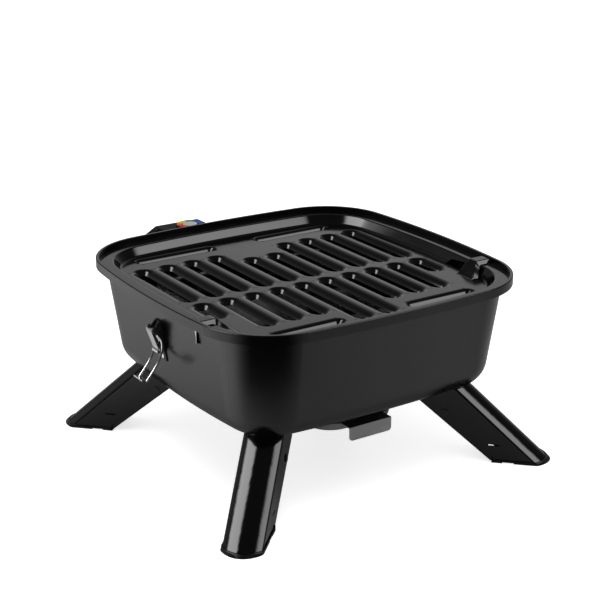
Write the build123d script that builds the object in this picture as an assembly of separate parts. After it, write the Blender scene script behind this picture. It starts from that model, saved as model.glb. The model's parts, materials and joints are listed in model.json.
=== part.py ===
from build123d import *
from math import atan, cos, degrees, hypot, radians, sin, tan
import os

# A portable tabletop grill: pressed steel bowl on four fold-under legs, slotted
# lift-out plate, electric heater with a plug-in thermostat, lid latches and a fat tray.
# Everything is drawn about the bowl's vertical axis, with the table at z = 0, the tray
# tab towards -Y and the thermostat towards +Y. Sizes are millimetres and degrees.

# Rim and bowl
rim_half_x = 190.0
rim_half_y = 188.0
side_bulge = 1100.0
front_bulge = 1411.0
corner_radius = 80.0
rim_top = 208.5
rim_band = 10.0
rim_width = 3.4
rim_fillet = 1.0
sheet = 1.2
ledge_drop = 7.0
wall_inset = 11.3
foot_inset = 23.5
bottom_radius = 27.5
bowl_bottom = 85.2
drain_radius = 14.0
drain_y = -20.0
side_slot_y = -84.0
side_slot_width = 3.5
side_slot_low = 178.0
side_slot_high = 195.0
slot_lip = 3.0

# Grill plate
plate_sheet = 1.5
plate_gap = 0.6
plate_flange = 15.0
plate_draft = 7.0
plate_depth = 10.0
plate_fillet = 2.5
slot_pitch = 30.6
slot_columns = 10
slot_half = 10.0
slot_bend = 6.0
slot_bend_angle = 70.0
relief_start = 2.5
relief_length = 4.0
relief_width = 0.7
relief_shift = 0.1
back_slots = (-11.0, 114.0)
back_slots_middle = (-11.0, 87.0)
front_slots = (-115.0, -17.0)
front_slots_middle = (-150.0, -17.0)
front_slots_outer = (-70.0, -17.0)
cross_slots_back = (26.0, 129.0, 139.0)
cross_slots_front = (38.0, 126.0, -139.0)

# Plate handles, raised out of the plate's own sheet
handle_root_x = 147.0
handle_end_x = 180.0
handle_front = -99.0
handle_back = -86.0
handle_rise = 14.0
handle_run = 15.0
handle_root_front = -110.0
handle_lip = 5.0
handle_round = 7.0
finger_slot_x = 161.5
finger_slot_y = -81.0
finger_slot_length = 62.0
finger_slot_width = 8.0

# Legs
leg_azimuth = 44.4
leg_reach = 275.5
leg_width = 41.0
leg_crown = 8.0
leg_sheet = 1.5
leg_edge = 3.5
leg_slope = 42.3
leg_inner_slope = 39.3
leg_inner_reach = 216.0
leg_top_gap = 0.7
leg_pin_reach = 162.0
leg_pin_height = 54.0
leg_pin_radius = 3.0
pin_clearance = 0.06
cheek_gap = 0.4
bracket_sheet = 2.0
bracket_depth = 26.0
bracket_eye = 8.0
bracket_flange = 12.0
pin_head_radius = 4.2
pin_head = 0.6
cap_height = 6.0
cap_floor = 2.0
cap_lip = 1.2
cap_gap = 0.1
cap_notch_depth = 1.2
cap_notch_start = 0.52
cap_notch_end = 0.78
clip_slot_height = 20.0
clip_slot_length = 12.0
clip_slot_width = 1.6
rivet_radius = 2.5
rivet_head_radius = 4.2
rivet_head = 1.6

# Fat tray and its rails
tray_half_x = 52.0
tray_front = -118.0
tray_back = 62.0
tray_corner = 31.0
tray_bottom = 61.4
tray_top = 69.5
tray_sheet = 1.2
tray_flange = 5.0
tray_draft = 2.5
cut_over = 0.01
tab_half = 26.5
tab_reach = 14.5
tab_drop = 15.1
tab_corner = 4.0
rail_gap = 0.5
rail_sheet = 1.5
rail_length = 150.0
rail_lip = 4.0
rail_screw_shares = (0.15, 0.85)
rail_screw_radius = 2.0
rail_screw_head = 3.6
rail_screw_head_height = 1.4

# Heater
element_radius = 4.0
element_drop = 30.5
element_half_x = 122.0
element_half_y = 118.0
element_bend = 30.0
element_pitch = 28.0
bar_width = 14.0
bar_gap = 0.3
bar_y = 84.0
clip_width = 8.0
clip_sheet = 1.0
clip_wing = 6.0
pin_radius = 2.4
pin_reach = 203.0
shroud_half_x = 32.0
shroud_half_z = 11.0
shroud_wall = 2.5
shroud_reach = 201.0
shroud_corner = 5.0
terminal_sheet = 2.0
reflector_inset = 40.0
reflector_rise = 30.0
head_gap = 1.0

# Thermostat
unit_half_x = 52.0
unit_flat_x = 29.0
unit_gap = 3.0
unit_length = 77.0
unit_low = 158.0
unit_seam_z = 171.0
unit_top = 184.0
unit_corner = 6.0
unit_shell = 2.0
unit_seam = 0.4
unit_fillet = 2.5
nose_gap = 0.5
nose_reach = 18.0
probe_radius = 3.0
probe_tip_y = 118.0
dial_setback = 34.0
dial_radius = 16.8
dial_height = 6.2
dial_gap = 0.4
dial_edge = 0.8
dial_stem_radius = 3.0
dial_flutes = 24
dial_flute_radius = 0.8
ring_radius = 15.8
ring_inner_radius = 9.4
ring_sink = 0.6
ring_height = 1.0
cap_radius = 8.8
index_length = 3.0
lens_radius = 2.5
lens_x = 18.0
lens_setback = 16.0
gland_radius = 6.0
gland_bore = 3.4
gland_length = 12.0
lug_radius = 4.8
lug_bore = 2.8
lug_x = -32.7
lug_setback = 14.0
lug_rise = 0.6
unit_screw_radius = 2.0
unit_screw_x = 42.0

# Latches
latch_y = -3.0
latch_base_width = 11.0
latch_base_low = 133.5
latch_base_high = 178.5
latch_sheet = 1.2
ear_half = 4.6
ear_round = 2.6
ear_setback = 2.5
lever_pivot_x = 183.0
lever_pivot_z = 169.9
lever_half = 6.0
lever_reach = 4.0
lever_cheek_back = 3.0
lever_cheek_length = 13.0
lever_length = 24.0
lever_lean = 19.7
lever_curl = 2.4
latch_pin_radius = 1.5
latch_pin_head_radius = 2.6
latch_pin_head = 1.2
bail_drop = 5.5
wire_radius = 1.2
bail_half = 8.0
bail_path = [(0.0, 0.0), (4.7, -12.2), (3.7, -19.3), (-2.4, -31.7), (-14.5, -46.8)]
hook_half = 9.5
hook_length = 6.0
hook_sheet = 1.4
hook_turn = 70.0
rivet_spots = (5.0, 15.0)
rivet_show = 0.8

ledge_z = rim_top - ledge_drop
bowl_floor = bowl_bottom + sheet
wall_slope = (foot_inset - wall_inset) / (rim_top - rim_band - bowl_bottom - bottom_radius)
plate_edge = rim_width + plate_gap
plate_top = ledge_z + plate_sheet
plate_floor = plate_top - plate_depth
floor_inset = plate_edge + plate_flange + plate_draft
element_z = plate_top - element_drop
unit_mid = element_z
unit_front = shroud_reach + unit_gap
unit_back = unit_front + unit_length
dial_y = unit_back - dial_setback
lens_y = unit_front + lens_setback
lug_y = unit_back - lug_setback

side_centre = rim_half_x - side_bulge
front_centre = rim_half_y - front_bulge


def corner_centre():
    """Centre of the corner arc, from its distances to the two bulge centres."""
    to_side = side_bulge - corner_radius
    to_front = front_bulge - corner_radius
    gap = hypot(side_centre, front_centre)
    along = (to_side**2 - to_front**2 + gap**2) / (2 * gap)
    off = (to_side**2 - along**2) ** 0.5
    way = Vector(-side_centre, front_centre) / gap
    turn = Vector(-way.Y, way.X)
    return Vector(side_centre, 0) + way * along + turn * off


corner = corner_centre()


def outline(inset, z=0.0):
    """The rim's rounded square, brought in by inset, as a face at height z."""
    radius = corner_radius - inset
    to_side = (corner - Vector(side_centre, 0)).normalized()
    to_front = (corner - Vector(0, front_centre)).normalized()
    p_side = corner + to_side * radius
    p_mid = corner + (to_side + to_front).normalized() * radius
    p_front = corner + to_front * radius
    right = (rim_half_x - inset, 0)
    back = (0, rim_half_y - inset)
    quarter = [right, p_side, p_mid, p_front, back]
    points = [(p[0], p[1]) if isinstance(p, tuple) else (p.X, p.Y) for p in quarter]
    loop = points[1:]
    loop += [(-x, y) for x, y in reversed(points[:-1])]
    loop += [(-x, -y) for x, y in points[1:]]
    loop += [(x, -y) for x, y in reversed(points[:-1])]
    loop += [points[1]]
    arcs = [ThreePointArc(*loop[i:i + 3]) for i in range(0, 16, 2)]
    return Pos(0, 0, z) * make_face(arcs)


def slab(inset, low, high):
    """A straight-sided block of the rim's shape between two heights."""
    return extrude(outline(inset, low), high - low)


def ring(outer, inner, low, high):
    """A straight-sided band between two insets."""
    return slab(outer, low, high) - slab(inner, low - 1, high + 1)


def wall_at(z):
    """Inset of the bowl wall's outer face at a height."""
    return wall_inset + (rim_top - rim_band - z) * wall_slope


def wall_x(y, z):
    """Where the side wall's outer face stands at a place along it, clear of the corners."""
    inset = wall_at(z)
    return side_centre + ((side_bulge - inset) ** 2 - y**2) ** 0.5


def bowl_body(skin, top):
    """The bowl's tapered form, with its outer faces brought in by skin."""
    low = bowl_bottom + skin
    body = loft([outline(wall_at(low) + skin, low), outline(wall_at(top) + skin, top)], ruled=True)
    edges = body.faces().sort_by(Axis.Z)[0].edges()
    return fillet(edges, bottom_radius - skin)


def upright_box(x, y, z):
    """A box between two limits along each axis."""
    size = [high - low for low, high in (x, y, z)]
    middle = [(high + low) / 2 for low, high in (x, y, z)]
    return Pos(*middle) * Box(*size)


def rounded_box(x, y, z, radius):
    """A box with rounded upright edges."""
    return fillet(upright_box(x, y, z).edges().filter_by(Axis.Z), radius)


def y_prism(half_x, half_z, radius, y_low, y_high, z_mid):
    """A rounded bar along Y."""
    bar = upright_box((-half_x, half_x), (y_low, y_high), (z_mid - half_z, z_mid + half_z))
    return fillet(bar.edges().filter_by(Axis.Y), radius)


def y_rod(radius, x, z, y_low, y_high):
    """A round rod along Y."""
    return Pos(x, (y_low + y_high) / 2, z) * Rot(90, 0, 0) * Cylinder(radius, y_high - y_low)


def along_y(radius, half):
    """A round rod through the origin along Y."""
    return Rot(90, 0, 0) * Cylinder(radius, 2 * half)


def bowl():
    """Deep pressed bowl with a turned-down rim band, a ledge for the plate and its openings."""
    shell = bowl_body(0.0, ledge_z - sheet / 2) - bowl_body(sheet, ledge_z + 1)
    rim = slab(0.0, rim_top - rim_band, rim_top)
    rim = fillet(rim.faces().sort_by(Axis.Z)[-1].edges(), rim_fillet)
    rim -= slab(sheet, rim_top - rim_band - 1, ledge_z - sheet)
    rim -= ring(sheet, rim_width - sheet, ledge_z - sheet - 1, rim_top - sheet)
    rim -= slab(rim_width, ledge_z, rim_top + 1)
    rim -= slab(wall_at(ledge_z) + sheet, ledge_z - sheet - 1, ledge_z + 1)
    shell = shell + rim
    shell -= Pos(0, drain_y, bowl_bottom) * Cylinder(drain_radius, 4 * sheet)
    socket = y_prism(shroud_half_x - shroud_wall, shroud_half_z - shroud_wall,
                     shroud_corner - shroud_wall, rim_half_y - 30, rim_half_y, unit_mid)
    shell -= socket
    for side in (-1, 1):
        shell = shell - to_side(wall_slot(), side) + to_side(wall_slot_lip(), side)
    return shell


def wall_slot():
    """Upright slot high in the side wall."""
    wall = wall_x(side_slot_y, side_slot_low)
    half = side_slot_width / 2
    return upright_box((wall - 4 * slot_lip, wall + 4 * slot_lip), (side_slot_y - half, side_slot_y + half),
                       (side_slot_low, side_slot_high))


def wall_slot_lip():
    """The slot's back edge, bent out from the wall."""
    edge = side_slot_y + side_slot_width / 2
    wall = wall_x(edge, side_slot_low)
    lip = upright_box((wall - sheet, wall + slot_lip), (edge, edge + sheet), (side_slot_low, side_slot_high))
    return lip - bowl_body(sheet / 2, ledge_z)


def slot_profile():
    """Half the section of one pressed slot: a sheet edge rolled down into the opening."""
    outer = slot_bend
    inner = slot_bend - plate_sheet
    centre = (slot_half, plate_floor - slot_bend)
    turn = radians(slot_bend_angle)
    half_turn = turn / 2

    def at(radius, angle):
        return (centre[0] - radius * sin(angle), centre[1] + radius * cos(angle))

    edges = [
        ThreePointArc(at(outer, 0), at(outer, half_turn), at(outer, turn)),
        Line(at(outer, turn), at(inner, turn)),
        ThreePointArc(at(inner, turn), at(inner, half_turn), at(inner, 0)),
        Line(at(inner, 0), at(outer, 0)),
    ]
    return Plane.XZ * make_face(edges)


def pressed_slot(length):
    """One pressed slot along Y, centred on the origin, with round ends."""
    run = length - 2 * slot_half
    half = slot_profile()
    side = Pos(0, run / 2, 0) * extrude(half, run)
    end = Pos(0, run / 2, 0) * revolve(half, Axis.Z, 180)
    part = side + mirror(side, Plane.YZ)
    part = part + end + mirror(end, Plane.XZ)
    return part


def slot_hole(length):
    """The hole in the plate's floor that a pressed slot fills."""
    hole = SlotOverall(length, 2 * slot_half, rotation=90)
    return Pos(0, 0, plate_floor - plate_sheet - 1) * extrude(hole, plate_sheet + 2)


def slot_reliefs(length):
    """Small slits past the corners of a pressed slot."""
    cuts = []
    middle = length / 2 - slot_half + relief_start + relief_length / 2
    slit = extrude(SlotOverall(relief_length, relief_width, rotation=90), 2 * plate_sheet)
    for side in (-1, 1):
        for end in (-1, 1):
            spot = Pos(side * (slot_half + relief_shift), end * middle, plate_floor - 1.5 * plate_sheet)
            cuts.append(spot * slit)
    return cuts


def slot_places():
    """Place, turn and length of every slot in the plate."""
    places = []
    for k in range(slot_columns):
        x = (k - (slot_columns - 1) / 2) * slot_pitch
        middle = k in (slot_columns // 2 - 1, slot_columns // 2)
        outer = k in (0, slot_columns - 1)
        back = back_slots_middle if middle else back_slots
        front = front_slots_middle if middle else front_slots_outer if outer else front_slots
        for low, high in (back, front):
            places.append((Pos(x, (low + high) / 2, 0), high - low))
    for low, high, y in (cross_slots_back, cross_slots_front):
        for side in (-1, 1):
            places.append((Pos(side * (low + high) / 2, y, 0) * Rot(0, 0, 90), high - low))
    return places


def grill_plate():
    inner_top = plate_edge + plate_flange
    plate = slab(plate_edge, plate_top - plate_sheet, plate_top)
    skirt = loft([outline(floor_inset - plate_sheet, plate_floor - plate_sheet),
                  outline(inner_top - plate_sheet, plate_top - plate_sheet)], ruled=True)
    well = loft([outline(floor_inset, plate_floor), outline(inner_top, plate_top)], ruled=True)
    plate = plate + skirt - well
    inner_rim = plate.faces().filter_by(Plane.XY).sort_by(Axis.Z)[-1].inner_wires()[0].edges()
    plate = fillet(inner_rim, plate_fillet)
    holes = [place * slot_hole(length) for place, length in slot_places()]
    plate = plate - holes
    plate = plate + [place * pressed_slot(length) for place, length in slot_places()]
    cuts = [place * cut for place, length in slot_places() for cut in slot_reliefs(length)]
    cuts += [finger_slot(side) for side in (-1, 1)]
    plate = plate - cuts
    return plate + [plate_handle(side) for side in (-1, 1)]


def finger_slot(side):
    """The slot at the foot of the plate's slope that fingertips go into, under the handle."""
    hole = SlotOverall(finger_slot_length, finger_slot_width, rotation=90)
    low = plate_floor - 2 * plate_sheet
    return Pos(side * finger_slot_x, finger_slot_y, low) * extrude(hole, plate_depth)


def handle_line(drop):
    """The handle's side view, from its root on the plate's floor outwards, lowered by drop."""
    bend_x = handle_root_x + handle_run
    high = plate_floor + handle_rise - drop
    points = [(handle_root_x - handle_round, plate_floor - drop), (handle_root_x, plate_floor - drop),
              (bend_x, high), (handle_end_x, high)]
    return FilletPolyline(*points, radius=handle_round)


def handle_face(drop):
    """Side view of the handle's strip, drop thick."""
    upper = handle_line(0.0)
    lower = handle_line(drop)
    return Plane.XZ * make_face([upper, Line(upper @ 1, lower @ 1), lower, Line(lower @ 0, upper @ 0)])


def handle_plan(inset):
    """The handle from above, wider towards its root, with its front edge moved in by inset."""
    near = handle_root_x - handle_round
    front = handle_front + inset
    root = handle_root_front + inset
    points = [(near, handle_back), (handle_end_x, handle_back), (handle_end_x, front),
              (handle_root_x + handle_run, front), (handle_root_x, root), (near, root)]
    return extrude(make_face(Polyline(*points, close=True)), plate_floor + 2 * handle_rise)


def plate_handle(side):
    """A strip raised from the plate's floor over the slope, with its front edge turned down."""
    width = handle_back - handle_root_front
    strip = Pos(0, handle_back, 0) * extrude(handle_face(plate_sheet), width) & handle_plan(0.0)
    lip = Pos(0, handle_back, 0) * extrude(handle_face(handle_lip), width)
    lip = lip & (handle_plan(0.0) - handle_plan(plate_sheet))
    above = upright_box((handle_root_x, handle_end_x), (handle_root_front, handle_back),
                        (plate_floor, plate_floor + handle_rise))
    handle = strip + (lip & above)
    return handle if side > 0 else mirror(handle, Plane.YZ)


def leg_frame(azimuth):
    """Turns the X-Z plane, where legs are drawn, to a leg's own direction."""
    return Rot(0, 0, azimuth)


def azimuths():
    return {"front_left": 180 + leg_azimuth, "front_right": -leg_azimuth,
            "back_left": 180 - leg_azimuth, "back_right": leg_azimuth}


def slope_line(reach, slope, z):
    """Distance from the bowl's axis of a leg edge at a height."""
    return reach - z / tan(radians(slope))


def leg_side_reach():
    """Where the outer face meets the side panels, at the table."""
    return leg_reach - leg_crown / sin(radians(leg_slope))


def leg_side_face(low):
    """Side view of a leg from a height low, round at the top about its pin."""
    top = bowl_bottom - leg_top_gap
    swing = top - leg_pin_height
    pin = Vector(leg_pin_reach, leg_pin_height)
    lean = radians(leg_inner_slope)
    foot = Vector(slope_line(leg_inner_reach, leg_inner_slope, low), low)
    along = Vector(-cos(lean), sin(lean))
    across = Vector(-sin(lean), -cos(lean))
    offset = (foot - pin).dot(across)
    reach = (swing**2 - offset**2) ** 0.5
    meet = pin + across * offset + along * reach
    start = degrees(atan((meet.Y - pin.Y) / (meet.X - pin.X))) + 180
    middle = radians((start + 90) / 2)
    arc = ThreePointArc((meet.X, meet.Y), (pin.X + swing * cos(middle), pin.Y + swing * sin(middle)),
                        (pin.X, top))
    outer_top = (slope_line(leg_reach + leg_width, leg_slope, top), top)
    outer_low = (slope_line(leg_reach + leg_width, leg_slope, low), low)
    lines = [arc, Line((pin.X, top), outer_top), Line(outer_top, outer_low),
             Line(outer_low, (foot.X, foot.Y)), Line((foot.X, foot.Y), (meet.X, meet.Y))]
    return Plane.XZ * make_face(lines)


def leg_bar(skin):
    """Long bar with the leg's crowned outer face, running along the leg's slope."""
    half = leg_width / 2 - skin
    crown_radius = ((leg_width / 2) ** 2 + leg_crown**2) / (2 * leg_crown) - skin
    centre = -skin - crown_radius
    edge = centre + (crown_radius**2 - half**2) ** 0.5
    section = [ThreePointArc((edge, half), (-skin, 0), (edge, -half)),
               Line((edge, -half), (-leg_reach, -half)),
               Line((-leg_reach, -half), (-leg_reach, half)), Line((-leg_reach, half), (edge, half))]
    face = make_face(section)
    face = fillet(face.vertices().sort_by(Axis.X)[-2:], leg_edge - skin)
    bar = extrude(face, leg_reach, both=True)
    return Pos(leg_reach, 0, 0) * Rot(0, leg_slope - 90, 0) * bar


def leg_solid(low):
    """The whole outside form of a leg, filled, from a height low."""
    return leg_bar(0.0) & extrude(leg_side_face(low), leg_width / 2, both=True)


def leg(name):
    """Pressed channel, open inwards, with pin holes and clip slots."""
    low = cap_floor
    inside = extrude(leg_side_face(-leg_reach), leg_width / 2 - leg_sheet, both=True)
    hollow = leg_bar(leg_sheet) & inside
    inward = Pos(-leg_width, 0, -leg_width) * hollow
    channel = leg_solid(low) - hollow - inward
    channel -= Pos(leg_pin_reach, 0, leg_pin_height) * along_y(leg_pin_radius + pin_clearance, leg_width)
    middle = (slope_line(leg_inner_reach, leg_inner_slope, clip_slot_height)
              + slope_line(leg_side_reach(), leg_slope, clip_slot_height)) / 2
    slot = upright_box((-clip_slot_length / 2, clip_slot_length / 2), (-leg_width, leg_width),
                       (-clip_slot_width / 2, clip_slot_width / 2))
    channel -= Pos(middle, 0, clip_slot_height) * slot
    return leg_frame(azimuths()[name]) * channel


def foot_cap(name):
    """Moulded cap under a leg: a tread, a lip round the steel and a plug inside it."""
    bar = leg_bar(-cap_lip)
    reach = leg_reach + leg_width
    block = upright_box((leg_inner_reach - cap_lip, reach), (-reach, reach), (0, cap_height))
    cap = bar & block
    steel = leg_bar(-cap_gap) & upright_box((leg_inner_reach - leg_width, reach), (-leg_width, leg_width),
                                       (cap_floor, cap_height + 1))
    plug = leg_bar(leg_sheet + cap_gap) & upright_box((leg_inner_reach, reach), (-leg_width, leg_width),
                                                      (cap_floor, cap_height))
    cap = cap - steel + plug
    edge_low = leg_inner_reach
    edge_run = leg_side_reach() - leg_inner_reach
    notch_x = (edge_low + edge_run * (1 - cap_notch_end), edge_low + edge_run * (1 - cap_notch_start))
    cap -= upright_box(notch_x, (-leg_width, leg_width), (-1, cap_notch_depth))
    cap -= upright_box((edge_low, reach), (-reach, reach), (cap_floor + cap_lip, cap_height + 1)) - plug
    return leg_frame(azimuths()[name]) * cap


def leg_bracket(name):
    """Bracket under the bowl: two cheeks inside the leg channel and a riveted flange."""
    inside = leg_width / 2 - leg_sheet - cheek_gap
    far = leg_pin_reach + bracket_sheet * 2
    near = far - bracket_depth
    outline_points = [(near, bowl_bottom), (far, bowl_bottom), (leg_pin_reach + bracket_eye, leg_pin_height),
                      (leg_pin_reach - bracket_eye, leg_pin_height)]
    eye = Pos(leg_pin_reach, leg_pin_height)
    cheek = make_face(Polyline(*outline_points, close=True)) + eye * Circle(bracket_eye)
    cheek = cheek - eye * Circle(leg_pin_radius)
    bracket = extrude(Plane.XZ * cheek, inside, both=True)
    bracket -= upright_box((0, leg_reach), (-inside + bracket_sheet, inside - bracket_sheet),
                           (0, bowl_bottom - bracket_sheet))
    hole = Pos((near + far) / 2, 0, bowl_bottom) * Cylinder(rivet_radius, 8 * sheet)
    bracket = bracket - [Pos(0, side * bracket_flange, 0) * hole for side in (-1, 1)]
    return leg_frame(azimuths()[name]) * bracket


def bracket_rivet_places():
    middle = leg_pin_reach + bracket_sheet * 2 - bracket_depth / 2
    return [leg_frame(turn) * Pos(middle, side * bracket_flange, 0)
            for turn in azimuths().values() for side in (-1, 1)]


def bracket_rivets():
    """Rivets that hold the leg brackets to the bowl's bottom."""
    length = sheet + bracket_sheet
    shank = Pos(0, 0, bowl_floor - length / 2) * Cylinder(rivet_radius, length)
    heads = [Pos(0, 0, bowl_floor + rivet_head / 2) * Cylinder(rivet_head_radius, rivet_head),
             Pos(0, 0, bowl_floor - length - rivet_head / 2) * Cylinder(rivet_head_radius, rivet_head)]
    rivet = shank + heads
    return [place * rivet for place in bracket_rivet_places()]


def leg_pin(name):
    """Pin through a leg and its bracket, with a head on each end."""
    half = leg_width / 2 + cheek_gap
    pin = along_y(leg_pin_radius, half)
    head = along_y(pin_head_radius, pin_head / 2)
    pin += [Pos(0, side * (half + pin_head / 2), 0) * head for side in (-1, 1)]
    return leg_frame(azimuths()[name]) * Pos(leg_pin_reach, 0, leg_pin_height) * pin


def tray_hollow():
    """The space inside the tray, open at the top."""
    return tray_form(-tray_sheet, tray_bottom + tray_sheet, tray_top + cut_over)


def tray_form(grow, low, high):
    """The tray's dished form, grown sideways by grow."""
    faces = []
    for z, inset in ((low, tray_draft), (high, 0.0)):
        length = tray_back - tray_front - 2 * inset + 2 * grow
        width = 2 * (tray_half_x - inset + grow)
        face = RectangleRounded(width, length, tray_corner - inset + grow)
        faces.append(Pos(0, (tray_back + tray_front) / 2, z) * face)
    return loft(faces, ruled=True)


def fat_tray():
    """Dished tray with side flanges and a turned-down finger tab."""
    tray = tray_form(0.0, tray_bottom, tray_top)
    sheet_z = (tray_top - tray_sheet, tray_top)
    flange_x = tray_half_x + tray_flange
    tray += rounded_box((-flange_x, flange_x), (tray_front + tray_corner, tray_back + tray_flange), sheet_z,
                        tray_flange)
    tab_end = tray_front - tab_reach
    tray += upright_box((-tab_half, tab_half), (tab_end, tray_front + tray_flange), sheet_z)
    tray -= tray_hollow()
    drop = upright_box((-tab_half, tab_half), (tab_end, tab_end + tray_sheet),
                       (tray_top - tab_drop, tray_top))
    low_corners = drop.edges().filter_by(Axis.Y).sort_by(Axis.Z)[:2]
    return tray + fillet(low_corners, tab_corner)


def tray_rail(side):
    """Bent rail under the bowl that a tray flange slides in."""
    inner = tray_half_x + tray_flange + rail_gap
    low = tray_top - tray_sheet - rail_gap - rail_sheet
    y_low = tray_back + tray_flange - rail_length
    y = (y_low, tray_back + tray_flange)
    web = upright_box((inner, inner + rail_sheet), y, (low, bowl_bottom))
    shelf = upright_box((inner - rail_lip, inner), y, (low, low + rail_sheet))
    flange = upright_box((inner, inner + 3 * rail_lip), y, (bowl_bottom - rail_sheet, bowl_bottom))
    rail = web + shelf + flange
    rail -= [Pos(inner + 2 * rail_lip, spot, bowl_bottom) * Cylinder(rail_screw_radius, 6 * sheet)
             for spot in rail_screw_spots()]
    return rail if side > 0 else mirror(rail, Plane.YZ)


def rail_screw_spots():
    """How far along Y the screws of a rail stand."""
    end = tray_back + tray_flange
    return [end - rail_length * share for share in rail_screw_shares]


def rail_screw_places():
    x = tray_half_x + tray_flange + rail_gap + 2 * rail_lip
    return [Pos(side * x, y, 0) for side in (-1, 1) for y in rail_screw_spots()]


def upright_pin(radius, x, y, low, high):
    """A round upright rod."""
    return Pos(x, y, (low + high) / 2) * Cylinder(radius, high - low)


def rail_screws():
    """Screws that hold the tray's rails to the bowl's bottom."""
    under = bowl_bottom - rail_sheet
    screw = upright_pin(rail_screw_radius, 0, 0, under, bowl_floor)
    screw += upright_pin(rail_screw_head, 0, 0, under - rail_screw_head_height, under)
    screw += upright_pin(rail_screw_head, 0, 0, bowl_floor, bowl_floor + rail_screw_head_height)
    return [place * screw for place in rail_screw_places()]


def screw_holes():
    """Holes in the bowl's bottom for every screw and rivet that passes through it."""
    low = bowl_bottom - sheet
    high = bowl_floor + sheet
    holes = [place * upright_pin(rail_screw_radius, 0, 0, low, high) for place in rail_screw_places()]
    return holes + [place * upright_pin(rivet_radius, 0, 0, low, high) for place in bracket_rivet_places()]


def heating_element():
    """Sheathed heater bent into one loop, with its two ends going out at the back."""
    half = element_pitch / 2
    back = element_half_y
    end = rim_half_y - wall_at(element_z) - sheet - 1.0
    points = [(-half, end), (-half, back), (-element_half_x, back), (-element_half_x, -element_half_y),
              (element_half_x, -element_half_y), (element_half_x, back), (half, back), (half, end)]
    bends = [half * 0.8] + [element_bend] * 4 + [half * 0.8]
    path = Pos(0, 0, element_z) * FilletPolyline(*points, radius=bends)
    section = Plane(origin=path @ 0, z_dir=path % 0) * Circle(element_radius)
    return sweep(section, path)


def terminal_pins():
    start = rim_half_y - wall_at(element_z) - sheet - 1.0
    return [y_rod(pin_radius, side * element_pitch / 2, element_z, start, pin_reach) for side in (-1, 1)]


def element_bar(y):
    """Strip across the bowl under the heater, cut to the wall at both ends."""
    top = element_z - element_radius
    half = bar_width / 2
    strip = upright_box((-rim_half_x, rim_half_x), (y - half, y + half), (top - clip_sheet, top))
    return strip & bowl_body(sheet + bar_gap, ledge_z)


def element_clips():
    """Saddles that hold the heater down on its bars."""
    half = clip_width / 2
    outer = element_radius + clip_sheet
    low = (-element_radius, 0)
    saddle = along_y(outer, half) + upright_box((-outer, outer), (-half, half), low)
    saddle += upright_box((-element_radius - clip_wing, element_radius + clip_wing), (-half, half),
                          (-element_radius, clip_sheet - element_radius))
    saddle -= along_y(element_radius, clip_width)
    saddle -= upright_box((-element_radius, element_radius), (-clip_width, clip_width), (-2 * outer, 0))
    saddle -= upright_box((-2 * outer, 2 * outer), (-clip_width, clip_width), (-2 * outer, -element_radius))
    return [Pos(side * element_half_x, y, element_z) * saddle for y in (-bar_y, bar_y) for side in (-1, 1)]


def terminal_plate():
    """Insulating plate inside the bowl's back wall that carries the heater ends."""
    back = rim_half_y - wall_at(element_z) - sheet
    plate = y_prism(shroud_half_x - shroud_wall - nose_gap, shroud_half_z - shroud_wall - nose_gap,
                    shroud_corner - shroud_wall, back, back + terminal_sheet, unit_mid)
    plate -= [y_rod(pin_radius, side * element_pitch / 2, element_z, 0, pin_reach) for side in (-1, 1)]
    return plate - y_rod(probe_radius + 2 * nose_gap, 0, element_z, 0, pin_reach)


def socket_shroud():
    """Moulded collar round the heater ends, outside the bowl's back wall."""
    outer = y_prism(shroud_half_x, shroud_half_z, shroud_corner, 0, shroud_reach, unit_mid)
    inner = y_prism(shroud_half_x - shroud_wall, shroud_half_z - shroud_wall, shroud_corner - shroud_wall,
                    -1, shroud_reach + 1, unit_mid)
    return outer - inner - bowl_body(0.0, ledge_z)


def reflector():
    """Shallow pan on the bowl's floor that sheds fat to the drain."""
    high = bowl_floor + reflector_rise
    inset = wall_at(bowl_floor) + bottom_radius + sheet
    pan = loft([outline(inset, bowl_floor), outline(reflector_inset, high)], ruled=True)
    pan -= loft([outline(inset + sheet, bowl_floor + sheet), outline(reflector_inset + sheet, high + sheet)],
                ruled=True)
    cuts = [upright_pin(drain_radius, 0, drain_y, bowl_floor - sheet, bowl_floor + 2 * sheet)]
    top = bowl_floor + 2 * rivet_head
    cuts += [place * upright_pin(rivet_head_radius + head_gap, 0, 0, bowl_bottom, top)
             for place in bracket_rivet_places()]
    cuts += [place * upright_pin(rail_screw_head + head_gap, 0, 0, bowl_bottom, top)
             for place in rail_screw_places()]
    return pan - cuts


def unit_face(skin):
    """Front view of the housing: a flat top, sloped shoulders and upright sides, brought in by skin."""
    half = [(0.0, unit_top), (unit_flat_x, unit_top), (unit_half_x, unit_seam_z), (unit_half_x, unit_low),
            (0.0, unit_low)]
    points = half + [(-x, z) for x, z in reversed(half[1:-1])]
    face = make_face(Polyline(*points, close=True))
    face = fillet([corner for corner in face.vertices() if abs(corner.X) > 1], unit_fillet)
    return Plane.XZ * offset(face, -skin)


def unit_block(skin, low, high):
    """The housing's solid between two heights, brought in by skin."""
    prism = Pos(0, unit_back - skin, 0) * extrude(unit_face(skin), unit_back - unit_front - 2 * skin)
    plan = rounded_box((-unit_half_x + skin, unit_half_x - skin), (unit_front + skin, unit_back - skin),
                       (low, high), unit_corner - skin)
    return prism & plan


def nose_form():
    """The insulated nose's block, from inside the collar to inside the housing."""
    skin = shroud_wall + nose_gap
    return y_prism(shroud_half_x - skin, shroud_half_z - skin, shroud_corner - shroud_wall,
                   shroud_reach - nose_reach, unit_front + 3 * unit_shell, unit_mid)


def gland_hole():
    return y_rod(gland_radius, 0, unit_seam_z, unit_back - 3 * unit_shell, unit_back + 1)


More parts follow.
